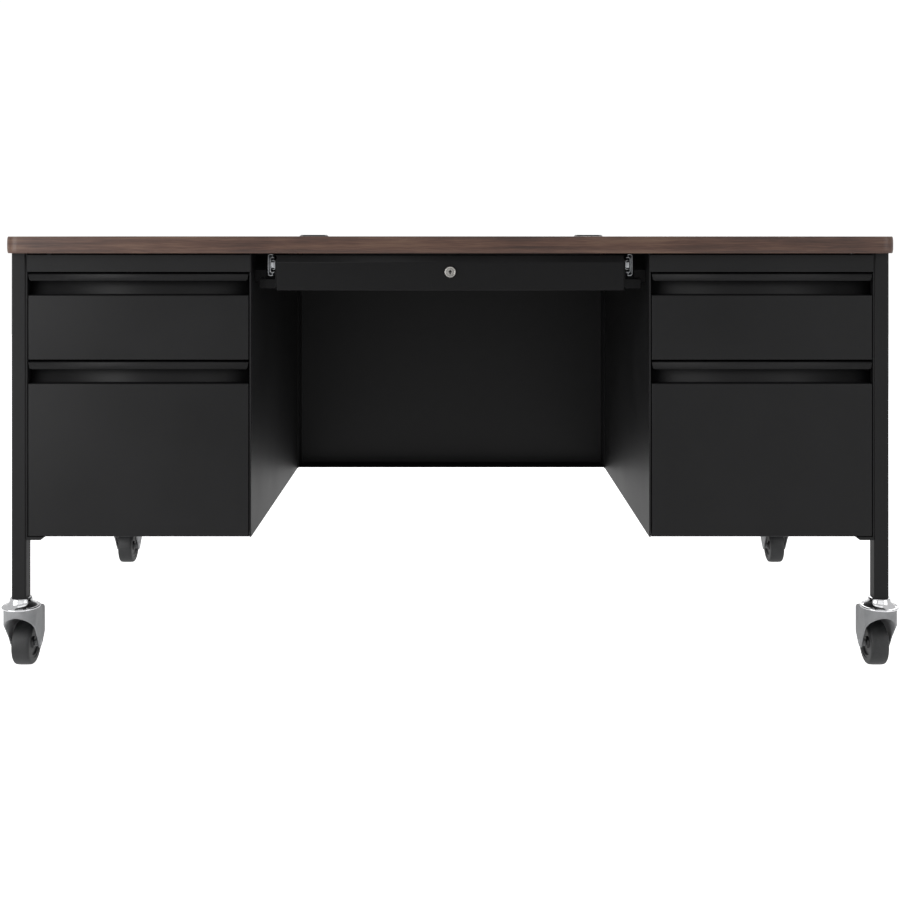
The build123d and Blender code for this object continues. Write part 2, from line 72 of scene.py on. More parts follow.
def addNode(tree, kind, inputs=None, **settings):
    # adds one shader node; an input is a plain value or another node's output
    made = tree.nodes.new("ShaderNode" + kind)
    for key, value in settings.items():
        setattr(made, key, value)
    for key, value in (inputs or {}).items():
        if isinstance(value, bpy.types.NodeSocket):
            tree.links.new(value, made.inputs[key])
        else:
            made.inputs[key].default_value = value
    return made


def startMaterial(name):
    material = bpy.data.materials.new(name)
    material.use_nodes = True
    tree = material.node_tree
    shader = tree.nodes["Principled BSDF"]
    place = addNode(tree, "TexCoord").outputs["Object"]
    return material, tree, shader, place


def setRamp(ramp, stops):
    elements = ramp.color_ramp.elements
    while len(elements) < len(stops):
        elements.new(0.5)
    for element, (position, colour) in zip(elements, stops):
        element.position = position
        element.color = toLinear(colour)


def perMetre(sizeMm):
    # the texture scale that gives features of this size in millimetres
    return 1000 / sizeMm


powderLook = {"colour": "#121213", "dust": "#1a1a1b", "peel": 1.4, "fine": 0.5, "roughness": 0.46, "specular": 0.22}
# parts hidden under the worktop get a darker, more matt coat; its darker colour is painted shade
paintedShadePowderLook = {**powderLook, "colour": "#0e0e0f", "dust": "#131314", "roughness": 0.55, "specular": 0.16}


def makePowderCoat(name, look):
    # steel with black powder coat, sprayed and baked: satin, with a fine orange peel
    material, tree, shader, place = startMaterial(name)
    peel = addNode(tree, "TexNoise", {"Vector": place, "Scale": perMetre(look["peel"]), "Detail": 2})
    fine = addNode(tree, "TexNoise", {"Vector": place, "Scale": perMetre(look["fine"]), "Detail": 1})
    cloud = addNode(tree, "TexNoise", {"Vector": place, "Scale": perMetre(170), "Detail": 3})
    both = addNode(tree, "Math", {0: peel.outputs["Fac"], 1: fine.outputs["Fac"]}, operation="ADD")
    bump = addNode(tree, "Bump", {"Height": both.outputs[0], "Strength": 0.22, "Distance": 0.05 * mm})
    tint = addNode(tree, "ValToRGB", {"Fac": cloud.outputs["Fac"]})
    setRamp(tint, [(0.3, look["colour"]), (0.75, look["dust"])])
    rough = addNode(tree, "MapRange", {"Value": cloud.outputs["Fac"], "To Min": look["roughness"] - 0.05,
                                       "To Max": look["roughness"] + 0.06})
    tree.links.new(tint.outputs["Color"], shader.inputs["Base Color"])
    tree.links.new(rough.outputs["Result"], shader.inputs["Roughness"])
    tree.links.new(bump.outputs["Normal"], shader.inputs["Normal"])
    shader.inputs["Specular IOR Level"].default_value = look["specular"]
    return material


walnutLook = {"dark": "#33231c", "middle": "#5a4337", "light": "#7b6353", "ring": 11, "fibre": 1.3, "figure": 70}


def makeWalnutLaminate():
    # high-pressure laminate with printed walnut: straight grain along the desk, satin, faint pores
    material, tree, shader, place = startMaterial("walnutLaminate")
    along = addNode(tree, "Mapping", {"Vector": place, "Scale": (0.07, 1, 1)})
    figure = addNode(tree, "TexNoise", {"Vector": along.outputs[0],
                                        "Scale": perMetre(walnutLook["figure"]), "Detail": 4})
    drift = addNode(tree, "VectorMath", {0: figure.outputs["Color"], "Scale": 0.05}, operation="SCALE")
    moved = addNode(tree, "VectorMath", {0: along.outputs[0], 1: drift.outputs[0]}, operation="ADD")
    rings = addNode(tree, "TexNoise", {"Vector": moved.outputs[0],
                                       "Scale": perMetre(walnutLook["ring"]), "Detail": 3})
    long = addNode(tree, "Mapping", {"Vector": place, "Scale": (0.02, 1, 1)})
    fibre = addNode(tree, "TexNoise", {"Vector": long.outputs[0],
                                       "Scale": perMetre(walnutLook["fibre"]), "Detail": 3})
    blend = addNode(tree, "Mix", {"Factor": 0.38, "A": rings.outputs["Fac"], "B": fibre.outputs["Fac"]},
                    data_type="FLOAT")
    ramp = addNode(tree, "ValToRGB", {"Fac": blend.outputs["Result"]})
    setRamp(ramp, [(0.36, walnutLook["dark"]), (0.5, walnutLook["middle"]), (0.66, walnutLook["light"])])
    bump = addNode(tree, "Bump", {"Height": fibre.outputs["Fac"], "Strength": 0.25, "Distance": 0.04 * mm})
    tree.links.new(ramp.outputs["Color"], shader.inputs["Base Color"])
    tree.links.new(bump.outputs["Normal"], shader.inputs["Normal"])
    shader.inputs["Roughness"].default_value = 0.42
    return material


edgeLook = {"dark": "#3e2b24", "middle": "#593f34", "light": "#735949", "streak": 5, "fibre": 0.9}


def makeEdgeVinyl():
    # extruded vinyl edge, walnut print: streaks run round the worktop, a soft sheen along its crown
    material, tree, shader, place = startMaterial("edgeVinyl")
    along = addNode(tree, "Mapping", {"Vector": place, "Scale": (0.03, 0.03, 1)})
    streak = addNode(tree, "TexNoise", {"Vector": along.outputs[0],
                                        "Scale": perMetre(edgeLook["streak"]), "Detail": 3})
    fibre = addNode(tree, "TexNoise", {"Vector": along.outputs[0],
                                       "Scale": perMetre(edgeLook["fibre"]), "Detail": 2})
    patch = addNode(tree, "TexNoise", {"Vector": place, "Scale": perMetre(160), "Detail": 2})
    blend = addNode(tree, "Mix", {"Factor": 0.4, "A": streak.outputs["Fac"], "B": fibre.outputs["Fac"]},
                    data_type="FLOAT")
    shifted = addNode(tree, "Mix", {"Factor": 0.3, "A": blend.outputs["Result"], "B": patch.outputs["Fac"]},
                      data_type="FLOAT")
    ramp = addNode(tree, "ValToRGB", {"Fac": shifted.outputs["Result"]})
    setRamp(ramp, [(0.38, edgeLook["dark"]), (0.5, edgeLook["middle"]), (0.64, edgeLook["light"])])
    bump = addNode(tree, "Bump", {"Height": fibre.outputs["Fac"], "Strength": 0.2, "Distance": 0.03 * mm})
    tree.links.new(ramp.outputs["Color"], shader.inputs["Base Color"])
    tree.links.new(bump.outputs["Normal"], shader.inputs["Normal"])
    shader.inputs["Roughness"].default_value = 0.36
    shader.inputs["Specular IOR Level"].default_value = 0.45
    return material


def makeSpeckled(name, dark, light, grainMm, roughness, metallic=0.0, depth=0.05, strength=0.2, stretch=(1, 1, 1)):
    # one solid finish with a fine two-tone texture; stretch turns the grain into brushing
    material, tree, shader, place = startMaterial(name)
    along = addNode(tree, "Mapping", {"Vector": place, "Scale": stretch})
    grain = addNode(tree, "TexNoise", {"Vector": along.outputs[0], "Scale": perMetre(grainMm), "Detail": 3})
    cloud = addNode(tree, "TexNoise", {"Vector": place, "Scale": perMetre(grainMm * 22), "Detail": 2})
    blend = addNode(tree, "Mix", {"Factor": 0.5, "A": grain.outputs["Fac"], "B": cloud.outputs["Fac"]},
                    data_type="FLOAT")
    ramp = addNode(tree, "ValToRGB", {"Fac": blend.outputs["Result"]})
    setRamp(ramp, [(0.38, dark), (0.62, light)])
    rough = addNode(tree, "MapRange", {"Value": cloud.outputs["Fac"], "To Min": roughness * 0.85,
                                       "To Max": roughness * 1.15})
    bump = addNode(tree, "Bump", {"Height": grain.outputs["Fac"], "Strength": strength, "Distance": depth * mm})
    tree.links.new(ramp.outputs["Color"], shader.inputs["Base Color"])
    tree.links.new(rough.outputs["Result"], shader.inputs["Roughness"])
    tree.links.new(bump.outputs["Normal"], shader.inputs["Normal"])
    shader.inputs["Metallic"].default_value = metallic
    return material


finishes = {
    "black_powder_coat": makePowderCoat("powderCoatedSteel", powderLook),
    "walnut_laminate": makeWalnutLaminate(),
    "edge_band": makeEdgeVinyl(),
    # pressed wood chips, sanded: seen only round the cable holes
    "particleboard": makeSpeckled("pressedParticleboard", "#7a5f42", "#b89a70", 2.5, 0.8, depth=0.2),
    # cold rolled steel, zinc plated: cool grey, faintly drawn along its length
    "zinc_steel": makeSpeckled("zincPlatedSteel", "#8d8f92", "#b9bbbd", 0.8, 0.34, 1.0, 0.02, 0.15, (1, 0.05, 1)),
    # bright chrome plate on a pressed ring: mirror with a little haze
    "chrome": makeSpeckled("chromePlate", "#d6d7d9", "#e8e8ea", 4, 0.09, 1.0, 0.01, 0.05),
    # satin nickel on a die-cast lock
    "nickel": makeSpeckled("satinNickel", "#a3a19d", "#bdbbb7", 1.2, 0.2, 1.0, 0.02, 0.15),
    # moulded nylon with a spark-eroded texture: matt mid grey
    "grey_plastic": makeSpeckled("mouldedGreyNylon", "#97989a", "#a6a7a9", 0.7, 0.5, depth=0.06, strength=0.35),
    "hub_plastic": makeSpeckled("mouldedDarkNylon", "#232325", "#2e2e30", 0.7, 0.45, depth=0.05, strength=0.3),
    # moulded rubber: dark grey, dusty on the tread
    "rubber_tyre": makeSpeckled("mouldedRubber", "#1d1e1f", "#303132", 1.1, 0.5, depth=0.08, strength=0.35),
    "black_plastic": makeSpeckled("mouldedBlackPlastic", "#161617", "#202022", 0.8, 0.42, depth=0.05, strength=0.3),
}
# a darker copy of the powder coat: painted shade for the parts in the worktop's shade
paintedShadePowder = makePowderCoat("paintedShadePowderSteel", paintedShadePowderLook)
print("materials made:", len(finishes) + 1)

slotOf = {row["node"]: row["material_slot"] for row in frame["record"]["subparts"]}
bodyOf = {node: body for body, members in frame["record"]["behaviour"]["bodies"].items() for node in members}
for nodeName, nodeObject in nodes.items():
    nodeObject.data.materials.clear()
    nodeObject.data.materials.append(finishes[slotOf[nodeName]])
# the parts under the worktop and the zinc lock strike take the darker coat: painted shade
for nodeName in ("gang_arms", "centre_brackets", "centre_drawer_pan", "lock_strike"):
    nodes[nodeName].data.materials[0] = paintedShadePowder

# folded and moulded edges on the pieces that keep their own shape, in millimetres
edgeRounds = {
    "pedestal_headers": 1.8, "pedestal_inner_sides": 0.5, "pedestal_outer_sides": 0.5, "pedestal_backs": 0.4,
    "pedestal_bottoms": 0.4, "modesty_panel": 0.5, "gussets": 0.8, "centre_brackets": 0.4, "gang_arms": 0.4,
    "pencil_tray": 0.8, "lock_body": 0.4,
    "centre_drawer_pan": 0.4, "lock_bolt": 0.4, "legs": 0.3,
}


def roundEdges(nodeName, width):
    weld = nodes[nodeName].modifiers.new("weld", "WELD")
    weld.merge_threshold = 0.005 * mm
    bevel = nodes[nodeName].modifiers.new("bevel", "BEVEL")
    bevel.width = width * mm
    bevel.segments = 2
    bevel.limit_method = "ANGLE"
    bevel.angle_limit = math.radians(40)
    bevel.harden_normals = True


for side in ("left", "right"):
    for kind in ("box", "file"):
        edgeRounds[f"{kind}_drawer_pan_{side}"] = 0.5
    edgeRounds[f"file_hang_rails_{side}"] = 0.5
for nodeName, width in edgeRounds.items():
    roundEdges(nodeName, width)


def placePiece(bm, name, standsFor, material=None, smoothAngle=35, body=None):
    # writes the mesh, and lets the piece ride, take its slot and stand for its node
    bmesh.ops.remove_doubles(bm, verts=bm.verts, dist=0.002 * mm)
    bmesh.ops.recalc_face_normals(bm, faces=bm.faces)
    mesh = bpy.data.meshes.new(name)
    bm.to_mesh(mesh)
    bm.free()
    piece = bpy.data.objects.new(name, mesh)
    bpy.context.scene.collection.objects.link(piece)
    slotName = material or slotOf[standsFor]
    mesh.materials.append(finishes[slotName])
    for polygon in mesh.polygons:
        polygon.use_smooth = True
    mesh.set_sharp_from_angle(angle=math.radians(smoothAngle))
    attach(piece, body or bodyOf[standsFor])
    if standsFor:
        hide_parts(standsFor)
    return piece


def boxOf(bm, low, high):
    # adds a box between two corners and returns its vertices
    low, high = Vector(low), Vector(high)
    made = bmesh.ops.create_cube(bm, size=1, matrix=Matrix.LocRotScale((low + high) / 2, None, high - low))
    return made["verts"]


# worktop edge: a T-mould band, crowned on its outer face
bandLook = {"thick": 3.0 * mm, "crown": 1.3 * mm, "corner": 25.4 * mm, "cornerSteps": 14, "rows": 7}


def makeEdgeBand():
    low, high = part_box("worktop_edge_band")
    crown = bandLook["crown"]
    bm = bmesh.new()
    boxOf(bm, (low[0] + crown, low[1] + crown, low[2]), (high[0] - crown, high[1] - crown, high[2]))
    uprights = [e for e in bm.edges if abs(e.verts[0].co.z - e.verts[1].co.z) > 0.01]
    bmesh.ops.bevel(bm, geom=uprights, offset=bandLook["corner"] - crown, segments=bandLook["cornerSteps"],
                    profile=0.5, affect="EDGES", material=-1)
    caps = [f for f in bm.faces if abs(f.normal.z) > 0.9]
    bmesh.ops.inset_individual(bm, faces=caps, thickness=bandLook["thick"] - crown)
    caps = [f for f in bm.faces if abs(f.normal.z) > 0.9 and len(f.verts) > 4]
    inner = [e for f in caps for e in f.edges]
    bmesh.ops.delete(bm, geom=caps, context="FACES_ONLY")
    bmesh.ops.bridge_loops(bm, edges=inner)
    centre = (Vector(low) + Vector(high)) / 2
    # crown the outer wall by rows of cuts
    outer = [e for e in bm.edges if abs(e.verts[0].co.z - e.verts[1].co.z) > 0.01
             and all(len(v.link_faces) and any(abs(f.normal.z) < 0.1 for f in v.link_faces) for v in e.verts)]
    bm.normal_update()
    wallEdges = []
    for e in outer:
        away = e.verts[0].co - centre
        face = next(f for f in e.link_faces)
        if face.normal.dot(Vector((away.x, away.y, 0))) > 0:
            wallEdges.append(e)
    bmesh.ops.subdivide_edges(bm, edges=wallEdges, cuts=bandLook["rows"], use_grid_fill=True)
    bm.normal_update()
    half = (high[2] - low[2]) / 2
    for v in bm.verts:
        height = (v.co.z - centre.z) / half
        if abs(height) < 0.98:
            push = Vector((v.normal.x, v.normal.y, 0)).normalized()
            v.co += push * crown * (1 - height ** 4)
    return placePiece(bm, "worktopEdge", "worktop_edge_band", smoothAngle=50)


makeEdgeBand()
print("worktop edge made")

# drawer fronts folded from one sheet
foldLook = {"sheet": 1.2 * mm, "bend": 2.2 * mm, "bendSteps": 4, "return": 19 * mm,
            "scoop": 14 * mm, "scoopLean": 5 * mm,
            "boxLip": 12.4 * mm, "boxLedge": 36.9 * mm, "fileLip": 12.7 * mm, "fileLedge": 37.4 * mm,
            "lipSlant": 2.4 * mm, "lipCorner": 3.2 * mm}


def sheetFromChain(bm, points, x0, x1):
    # extrudes a chain of (y, z) points along X; returns rows of vertices at both ends
    first = [bm.verts.new((x0, y, z)) for y, z in points]
    edges = [bm.edges.new(pair) for pair in zip(first, first[1:])]
    made = bmesh.ops.extrude_edge_only(bm, edges=edges)["geom"]
    moved = [g for g in made if isinstance(g, bmesh.types.BMVert)]
    bmesh.ops.translate(bm, verts=moved, vec=(x1 - x0, 0, 0))
    bm.verts.ensure_lookup_table()
    last = [min(moved, key=lambda v: (v.co - Vector((x1, y, z))).length) for y, z in points]
    return first, last


def returnFlange(bm, lowerVert, upperVert, depth):
    # folds a side of a face back by depth
    edge = bm.edges.get((lowerVert, upperVert))
    made = bmesh.ops.extrude_edge_only(bm, edges=[edge])["geom"]
    bmesh.ops.translate(bm, verts=[g for g in made if isinstance(g, bmesh.types.BMVert)], vec=(0, depth, 0))
    return edge


def addSolidify(piece, thickness):
    solid = piece.modifiers.new("solidify", "SOLIDIFY")
    solid.thickness = thickness
    solid.offset = 0
    solid.use_even_offset = True


def makePullFront(name, standsFor, lipHeight, ledgeDrop):
    low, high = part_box(standsFor)
    half = foldLook["sheet"] / 2
    yFront, yBack = low[1] + half, high[1] - half
    zLow, zHigh = low[2] + half, high[2] - half
    zLedge, zLip = high[2] - ledgeDrop - half, high[2] - lipHeight
    bm = bmesh.new()
    scoop = yFront + foldLook["scoop"]
    points = [(yFront + foldLook["return"], zLow), (yFront, zLow), (yFront, zLedge), (scoop, zLedge),
              (scoop + foldLook["scoopLean"], zLip), (yBack, zHigh), (yFront, zHigh), (yFront, zLip)]
    first, last = sheetFromChain(bm, points, low[0] + half, high[0] - half)
    folds = [bm.edges.get((a, b)) for a, b in zip(first[1:7], last[1:7])]
    folds += [returnFlange(bm, row[1], row[2], foldLook["return"]) for row in (first, last)]
    first[7].co.x += foldLook["lipSlant"]
    last[7].co.x -= foldLook["lipSlant"]
    bmesh.ops.bevel(bm, geom=folds, offset=foldLook["bend"], segments=foldLook["bendSteps"],
                    profile=0.5, affect="EDGES", material=-1, clamp_overlap=True)
    lipEnds = [v for v in bm.verts if abs(v.co.z - zLip) < 0.01 * mm and v.co.y < yFront + 1 * mm]
    bmesh.ops.bevel(bm, geom=lipEnds, offset=foldLook["lipCorner"], segments=5, profile=0.5,
                    affect="VERTICES", material=-1)
    piece = placePiece(bm, name, standsFor, smoothAngle=40)
    addSolidify(piece, foldLook["sheet"])
    return piece


for side in ("left", "right"):
    makePullFront(f"boxFront_{side}", f"box_drawer_front_{side}", foldLook["boxLip"], foldLook["boxLedge"])
    makePullFront(f"fileFront_{side}", f"file_drawer_front_{side}", foldLook["fileLip"], foldLook["fileLedge"])
print("pedestal drawer fronts made")


centreLook = {"bevelDrop": 14 * mm, "bevelBack": 0.3 * mm, "topFlange": 9.2 * mm, "floor": 19 * mm,
              "sides": 18 * mm, "bend": 1.6 * mm}


def makeCentreFront():
    low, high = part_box("centre_drawer_front")
    half = foldLook["sheet"] / 2
    yFront, zLow, zHigh = low[1] + half, low[2] + half, high[2] - half
    zBevel = high[2] - centreLook["bevelDrop"]
    bm = bmesh.new()
    points = [(yFront + centreLook["floor"], zLow), (yFront, zLow), (yFront, zBevel),
              (yFront + centreLook["bevelBack"], zHigh),
              (yFront + centreLook["bevelBack"] + centreLook["topFlange"] - half, zHigh)]
    first, last = sheetFromChain(bm, points, low[0] + half, high[0] - half)
    folds = [bm.edges.get((a, b)) for a, b in zip(first[1:4], last[1:4])]
    folds += [returnFlange(bm, row[1], row[2], centreLook["sides"]) for row in (first, last)]
    bmesh.ops.bevel(bm, geom=folds, offset=centreLook["bend"], segments=4, profile=0.5, affect="EDGES", material=-1)
    piece = placePiece(bm, "centreFront", "centre_drawer_front", smoothAngle=40)
    # the centre front takes the darker coat: painted shade under the worktop's overhang
    piece.data.materials[0] = paintedShadePowder
    addSolidify(piece, foldLook["sheet"])


makeCentreFront()
print("centre drawer front made")


def spinProfile(bm, points, axis, centre, steps=64):
    # turns a closed profile of points round an axis through centre
    row = [bm.verts.new(p) for p in points]
    edges = [bm.edges.new(pair) for pair in zip(row, row[1:] + row[:1])]
    bmesh.ops.spin(bm, geom=row + edges, cent=centre, axis=axis, dvec=(0, 0, 0), angle=math.tau,
                   steps=steps, use_merge=True, use_duplicate=False)


def ringEdges(bm, axis, centre, radius, offsetAlong, tolerance=0.05 * mm):
    # the circular edges at this radius and this place along the axis
    found = []
    axis = Vector(axis)
    for e in bm.edges:
        good = True
        for v in e.verts:
            away = v.co - centre
            along = away.dot(axis)
            good = good and abs(along - offsetAlong) < tolerance
            good = good and abs((away - axis * along).length - radius) < tolerance
        if good:
            found.append(e)
    return found


# ball-bearing slides: each member is rolled from strip, so its folds are round
slideLook = {"strip": 1.2 * mm, "outer": 3.6 * mm, "middle": 2.6 * mm, "inner": 1.6 * mm, "curl": 1.5 * mm,
             "stop": 5.0 * mm, "stopThick": 4 * mm, "stopRound": 0.5 * mm,
             "ball": 1.55 * mm, "ballPitch": 7 * mm, "balls": 9}


def islandsOf(bm):
    # the sets of vertices that hang together, one for each separate solid
    seen = set()
    for start in bm.verts:
        if start in seen:
            continue
        island, queue = {start}, [start]
        while queue:
            for e in queue.pop().link_edges:
                for other in e.verts:
                    if other not in island:
                        island.add(other)
                        queue.append(other)
        seen |= island
        yield island


def solidsOf(nodeName):
    # the box of each separate solid in a node, and whether its web is on the low side
    bm = bmesh.new()
    bm.from_mesh(nodes[nodeName].data)
    bmesh.ops.remove_doubles(bm, verts=bm.verts, dist=0.005 * mm)
    found = []
    for island in islandsOf(bm):
        low = Vector([min(v.co[i] for v in island) for i in range(3)])
        high = Vector([max(v.co[i] for v in island) for i in range(3)])
        atLow = sum(abs(v.co.x - low.x) < 0.05 * mm for v in island)
        atHigh = sum(abs(v.co.x - high.x) < 0.05 * mm for v in island)
        found.append((low, high, atLow < atHigh))
    bm.free()
    return found


def rollMember(bm, low, high, webAtLow, radius, curl):
    # one C-shaped member along Y, its lips turned in by curl
    half = slideLook["strip"] / 2
    web, lip = (low.x + half, high.x - half) if webAtLow else (high.x - half, low.x + half)
    zLow, zHigh = low.z + half, high.z - half
    chain = [(lip, zHigh - curl), (lip, zHigh), (web, zHigh), (web, zLow), (lip, zLow), (lip, zLow + curl)]
    if not curl:
        chain = chain[1:5]
    row = [bm.verts.new((x, low.y, z)) for x, z in chain]
    strip = [bm.edges.new(pair) for pair in zip(row, row[1:])]
    made = bmesh.ops.extrude_edge_only(bm, edges=strip)["geom"]
    far = [g for g in made if isinstance(g, bmesh.types.BMVert)]
    bmesh.ops.translate(bm, verts=far, vec=(0, high.y - low.y, 0))
    folds = [e for v in row for e in v.link_edges if abs(e.verts[0].co.y - e.verts[1].co.y) > 0.01]
    sharp = [e for e in folds if len(e.link_faces) == 2]
    corners = [e for e in sharp if abs(e.verts[0].co.x - web) < 0.01 * mm]
    bmesh.ops.bevel(bm, geom=corners, offset=radius, segments=6, profile=0.5, affect="EDGES", material=-1)
    if curl:
        lips = [e for e in sharp if e.is_valid and e not in corners]
        bmesh.ops.bevel(bm, geom=lips, offset=curl * 0.8, segments=4, profile=0.5, affect="EDGES", material=-1)


def makeSlides(nodeName, kind):
    bm = bmesh.new()
    for low, high, webAtLow in solidsOf(nodeName):
        rollMember(bm, low, high, webAtLow, slideLook[kind], 0 if kind == "inner" else slideLook["curl"])
    piece = placePiece(bm, nodeName + "_rolled", nodeName, smoothAngle=40)
    addSolidify(piece, slideLook["strip"])
    extras = bmesh.new()
    for low, high, webAtLow in solidsOf(nodeName):
        middle = (low + high) / 2
        if kind == "inner":
            # the end stop that fills the front of the inner member
            boxOf(extras, (low.x + 0.3 * mm, low.y + 0.4 * mm, middle.z - slideLook["stop"]),
                  (high.x - 0.3 * mm, low.y + slideLook["stopThick"], middle.z + slideLook["stop"]))
        if kind == "middle":
            # the first balls of each race, between the lips
            for index in range(slideLook["balls"]):
                for z in (low.z - slideLook["ball"] * 1.1, high.z + slideLook["ball"] * 1.1):
                    place = Matrix.Translation((middle.x, low.y + (index + 0.6) * slideLook["ballPitch"], z))
                    bmesh.ops.create_icosphere(extras, subdivisions=2, radius=slideLook["ball"], matrix=place)
    if kind == "inner":
        bmesh.ops.bevel(extras, geom=extras.edges[:], offset=slideLook["stopRound"], segments=2, profile=0.5,
                        affect="EDGES", material=-1)
    if kind == "outer":
        extras.free()
    else:
        placePiece(extras, nodeName + "_ends", None, "zinc_steel", 60, bodyOf[nodeName])


makeSlides("slide_outers", "outer")
for kind in ("middle", "inner"):
    makeSlides(f"centre_slide_{kind}s", kind)
    for side in ("left", "right"):
        for drawer in ("box", "file"):
            makeSlides(f"{drawer}_slide_{kind}s_{side}", kind)
print("slides made")

# lock: a rolled ring round a plug with a keyway, in millimetres from the lock's axis
lockLook = {"ring": [(9.4, 0.3), (9.4, -0.1), (9.0, -0.7), (8.3, -0.95), (7.6, -0.7), (7.2, -0.1), (7.2, 0.3)],
            "proud": 0.2, "collar": 3,
            "keyway": [(0, 4.1), (1.1, 2.6), (2.9, 0.5), (2.9, -0.5), (1.15, -0.9), (1.15, -4.1)],
            "deep": 4, "plug": 5.9}


def makeLock():
    plugLow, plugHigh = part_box("lock_plug")
    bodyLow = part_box("lock_body")[0]
    axis = Vector(((plugLow[0] + plugHigh[0]) / 2, bodyLow[1], (plugLow[2] + plugHigh[2]) / 2))
    bm = bmesh.new()
    spinProfile(bm, [axis + Vector((r * mm, y * mm, 0)) for r, y in lockLook["ring"]], (0, 1, 0), axis, 64)
    placePiece(bm, "lockRing", None, "nickel", 60, bodyOf["lock_body"])
    # plug face, with the keyway cut through it and a collar turned back from its rim
    face = axis - Vector((0, lockLook["proud"] * mm, 0))
    rightHalf = lockLook["keyway"]
    outline = rightHalf + [(-x, z) for x, z in reversed(rightHalf) if x > 0]
    bm = bmesh.new()
    bmesh.ops.create_circle(bm, segments=48, radius=lockLook["plug"] * mm,
                            matrix=Matrix.Translation(face) @ Matrix.Rotation(math.radians(90), 4, "X"))
    rim = bm.edges[:]
    key = [bm.verts.new(face + Vector((x * mm, 0, z * mm))) for x, z in outline]
    keyEdges = [bm.edges.new(pair) for pair in zip(key, key[1:] + key[:1])]
    bmesh.ops.triangle_fill(bm, use_beauty=True, use_dissolve=False, edges=rim + keyEdges)
    backwards = bmesh.ops.extrude_edge_only(bm, edges=rim)["geom"]
    bmesh.ops.translate(bm, verts=[g for g in backwards if isinstance(g, bmesh.types.BMVert)],
                        vec=(0, lockLook["collar"] * mm, 0))
    placePiece(bm, "lockPlugFace", None, "nickel", 30, bodyOf["lock_plug"])
    # the keyway's walls and floor in black plastic: painted shade for the dark inside of the keyhole
    bm = bmesh.new()
    key = [bm.verts.new(face + Vector((x * mm, 0.05 * mm, z * mm))) for x, z in outline]
    keyEdges = [bm.edges.new(pair) for pair in zip(key, key[1:] + key[:1])]
    walls = bmesh.ops.extrude_edge_only(bm, edges=keyEdges)["geom"]
    bmesh.ops.translate(bm, verts=[g for g in walls if isinstance(g, bmesh.types.BMVert)],
                        vec=(0, lockLook["deep"] * mm, 0))
    bmesh.ops.contextual_create(bm, geom=[g for g in walls if isinstance(g, bmesh.types.BMEdge)])
    placePiece(bm, "paintedShadeKeyway", "lock_plug", "black_plastic", 30)


makeLock()
print("lock made")

# casters
casterLook = {"voxel": 1.1 * mm, "soften": 4, "tyreRound": 4.2 * mm, "crown": 0.6 * mm, "hubDish": 3.2 * mm,
              "rimInside": 22.5 * mm, "dishOutside": 20.5 * mm, "dishInside": 10.5 * mm,
              "boss": 9 * mm, "bore": 4.1 * mm,
              "hubRound": 0.8 * mm, "tyreFlat": 0.4, "axleReach": 6 * mm}
# profiles in millimetres: place along the axle and radius; radius and height above the cap's foot
axleLook = {"profile": [(-26.2, 0.01), (-26.0, 3), (-25.2, 5), (-24.4, 5.2), (-24.4, 4),
                        (24.4, 4), (24.4, 5.2), (25.2, 5), (26.0, 3), (26.2, 0.01)]}
capLook = {"profile": [(5.6, 0.3), (30.5, 0), (32.0, 0.5), (32.5, 1.8), (32.1, 3.0), (30.9, 3.6), (29.6, 3.5),
                       (28.6, 3.9), (26.6, 4.6), (24.4, 5.6), (22.6, 7.0), (21.0, 9.0), (19.8, 11.4),
                       (18.9, 14.2), (18.2, 17.0), (17.4, 17.6), (5.6, 17.6)]}


def makeHood(place):
    # the moulded hood, its corners softened as moulded nylon's are
    source = nodes[f"caster_hood_{place}"]
    bm = bmesh.new()
    bm.from_mesh(source.data)
    bmesh.ops.remove_doubles(bm, verts=bm.verts, dist=0.005 * mm)
    wheelLow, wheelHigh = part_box(f"caster_tyre_{place}")
    axle = (Vector(wheelLow) + Vector(wheelHigh)) / 2
    axleVerts = []
    for island in islandsOf(bm):
        reach = max((Vector((0, w.co.y, w.co.z)) - Vector((0, axle.y, axle.z))).length for w in island)
        if reach < casterLook["axleReach"]:
            axleVerts += island
    bmesh.ops.delete(bm, geom=axleVerts, context="VERTS")
    piece = placePiece(bm, f"casterHood_{place}", f"caster_hood_{place}", smoothAngle=180)
    remesh = piece.modifiers.new("remesh", "REMESH")
    remesh.mode = "VOXEL"
    remesh.voxel_size = casterLook["voxel"]
    remesh.use_smooth_shade = True
    smooth = piece.modifiers.new("smooth", "SMOOTH")
    smooth.factor = 0.5
    smooth.iterations = casterLook["soften"]
    return axle


